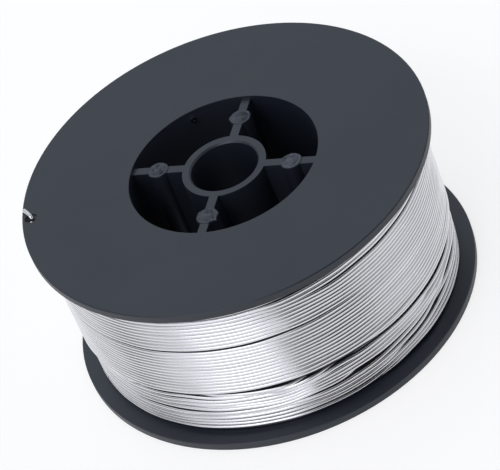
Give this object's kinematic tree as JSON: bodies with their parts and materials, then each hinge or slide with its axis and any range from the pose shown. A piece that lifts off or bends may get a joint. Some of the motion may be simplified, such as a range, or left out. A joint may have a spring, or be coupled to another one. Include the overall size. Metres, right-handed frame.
{
  "type": "mig welding wire spool",
  "caption": "Small black plastic spool wound full with bright welding wire, lying on one flange, with a centre bore for the feeder's spindle.",
  "frame": {"origin": "centre of the lower flange's outer face, which the spool lies on", "axes": "+Z is the spool's axis, up as it lies; the four ribs inside the barrel lie along +X, +Y, -X and -Y"},
  "size_m": [0.1, 0.1, 0.046],
  "materials": {
    "spool_plastic": "satin black moulded plastic",
    "wire": "bright drawn wire, layer wound"
  },
  "bodies": {
    "root": {"lower_spool_half": "spool_plastic", "upper_spool_half": "spool_plastic", "wire_coil": "wire"}
  },
  "joints": []
}
